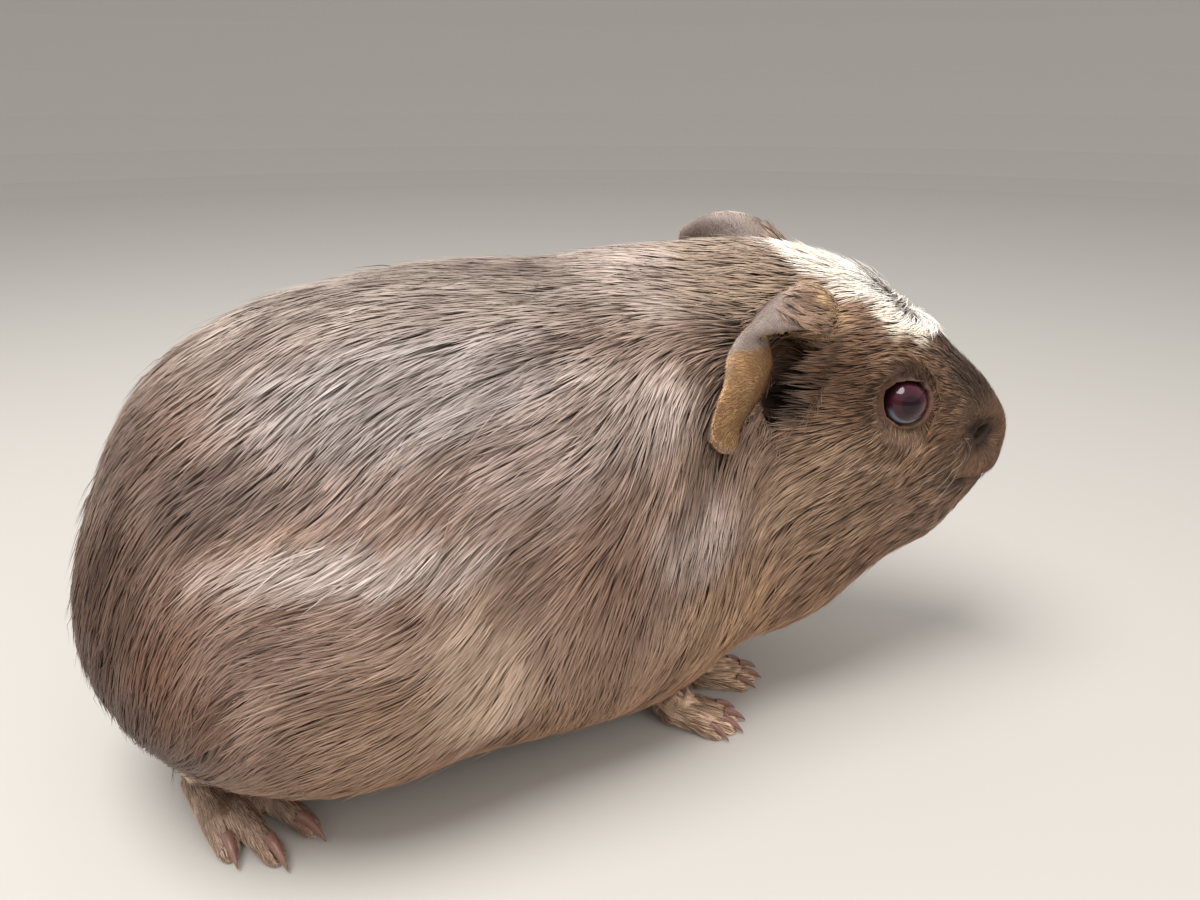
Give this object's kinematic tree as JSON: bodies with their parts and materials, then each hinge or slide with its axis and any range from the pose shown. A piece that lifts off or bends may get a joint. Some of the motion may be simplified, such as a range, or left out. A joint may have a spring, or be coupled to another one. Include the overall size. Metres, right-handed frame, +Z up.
{
  "type": "guinea pig",
  "caption": "Life-size still guinea pig standing hunched on all four feet, head turned slightly to its right; a grey-brown coat with a pale crest on the forehead.",
  "frame": {"origin": "on the floor, under the middle of the bounding box", "axes": "+X towards the head, +Y to the animal's left, +Z up"},
  "size_m": [0.2318, 0.1128, 0.124],
  "materials": {
    "coat": "soft lilac grey-brown fur with a pale sheen on the back",
    "crest_coat": "short brown fur with a whorl of cream hair on the forehead",
    "foot_coat": "very short velvety fur over bare pinkish soles",
    "ear_skin": "thin velvety skin, tan inside and grey outside",
    "eye": "wet, glossy dark ruby",
    "claw": "smooth translucent horn"
  },
  "bodies": {
    "root": {"head": "crest_coat", "neck": "coat", "trunk": "coat", "thigh_left": "coat", "thigh_right": "coat", "upper_foreleg_left": "coat", "upper_foreleg_right": "coat", "eye_left": "eye", "eye_right": "eye", "ear_left": "ear_skin", "ear_right": "ear_skin", "hindfoot_left": "foot_coat", "hindfoot_right": "foot_coat", "forefoot_left": "foot_coat", "forefoot_right": "foot_coat", "hindclaw_left_1": "claw", "hindclaw_left_2": "claw", "hindclaw_left_3": "claw", "foreclaw_left_1": "claw", "foreclaw_left_2": "claw", "foreclaw_left_3": "claw", "foreclaw_left_4": "claw", "hindclaw_right_1": "claw", "hindclaw_right_2": "claw", "hindclaw_right_3": "claw", "foreclaw_right_1": "claw", "foreclaw_right_2": "claw", "foreclaw_right_3": "claw", "foreclaw_right_4": "claw"}
  },
  "joints": []
}
